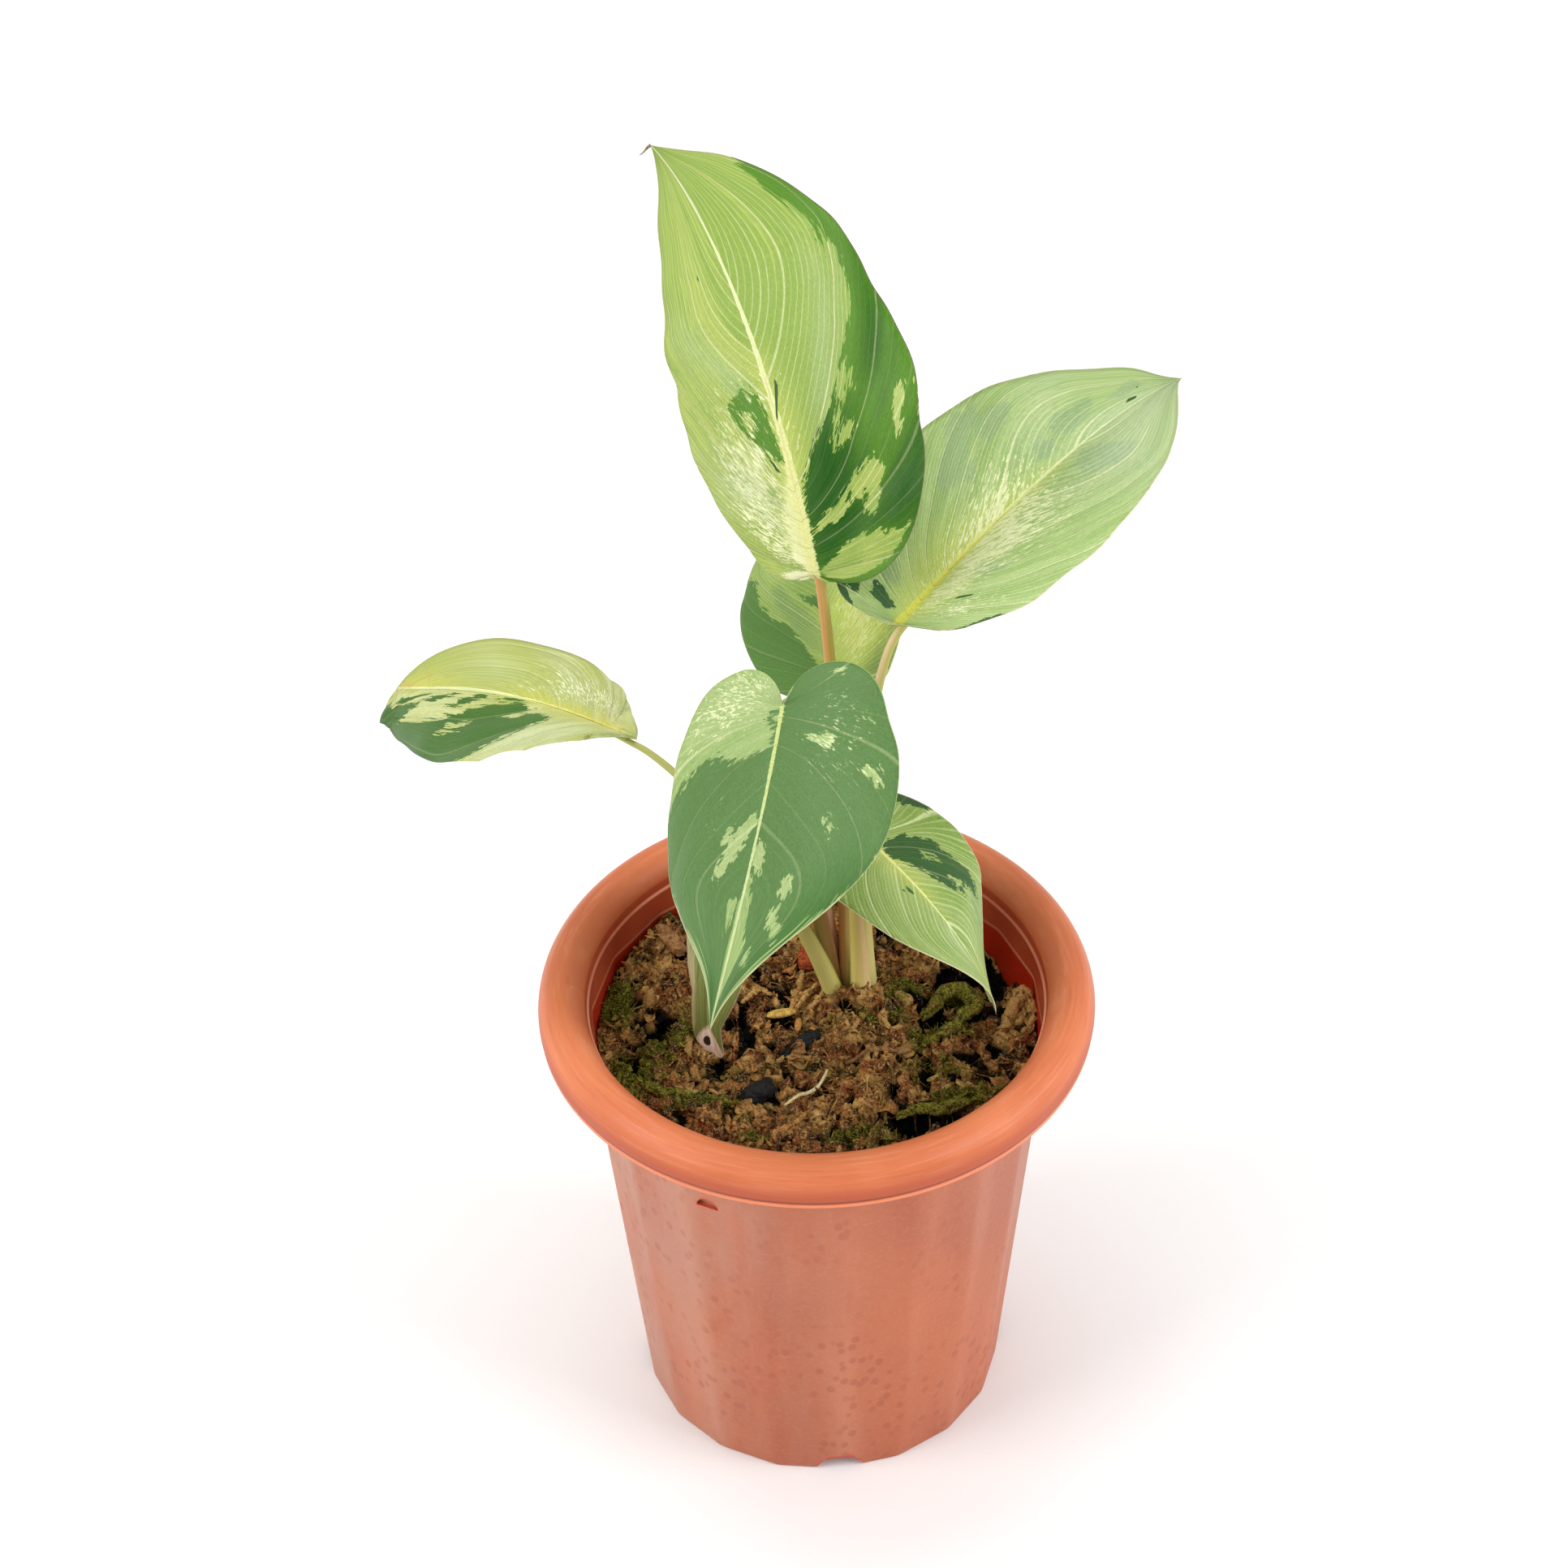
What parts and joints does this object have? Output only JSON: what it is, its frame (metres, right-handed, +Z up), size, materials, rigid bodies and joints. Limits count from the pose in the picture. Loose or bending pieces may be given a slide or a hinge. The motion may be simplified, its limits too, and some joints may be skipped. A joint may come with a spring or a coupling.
{
  "type": "potted homalomena",
  "caption": "Variegated homalomena house plant with heart-shaped cream and green leaves on slender stalks, growing in a round terracotta-coloured plastic nursery pot.",
  "frame": {"origin": "middle of the pot's foot, on the surface that it stands on", "axes": "+Z up; +X to the right and -Y towards the viewer in the reference picture"},
  "size_m": [0.2351, 0.2344, 0.3511],
  "materials": {
    "pot": "satin",
    "soil": "matte",
    "crown": "matte",
    "leaf_1_blade": "satin",
    "leaf_2_blade": "satin",
    "leaf_3_blade": "satin",
    "leaf_4_blade": "satin",
    "leaf_5_blade": "satin",
    "leaf_6_blade": "satin",
    "leaf_7_blade": "satin",
    "leaf_1_petiole": "satin",
    "leaf_2_petiole": "satin",
    "leaf_3_petiole": "satin",
    "leaf_4_petiole": "satin",
    "leaf_5_petiole": "satin",
    "leaf_6_petiole": "satin",
    "leaf_7_petiole": "satin",
    "charcoal": "matte",
    "bark": "matte",
    "hull": "matte",
    "root": "matte"
  },
  "bodies": {
    "root": {"pot": "pot", "soil": "soil", "crown": "crown", "leaf_1_petiole": "leaf_1_petiole", "leaf_1_blade": "leaf_1_blade", "leaf_2_petiole": "leaf_2_petiole", "leaf_2_blade": "leaf_2_blade", "leaf_3_petiole": "leaf_3_petiole", "leaf_3_blade": "leaf_3_blade", "leaf_4_petiole": "leaf_4_petiole", "leaf_4_blade": "leaf_4_blade", "leaf_5_petiole": "leaf_5_petiole", "leaf_5_blade": "leaf_5_blade", "leaf_6_petiole": "leaf_6_petiole", "leaf_6_blade": "leaf_6_blade", "leaf_7_petiole": "leaf_7_petiole", "leaf_7_blade": "leaf_7_blade", "charcoal_1": "charcoal", "charcoal_2": "charcoal", "bark_chip_1": "bark", "bark_chip_2": "bark", "rice_hull_1": "hull", "rice_hull_2": "hull", "white_root": "root", "twig": "root"}
  },
  "joints": []
}
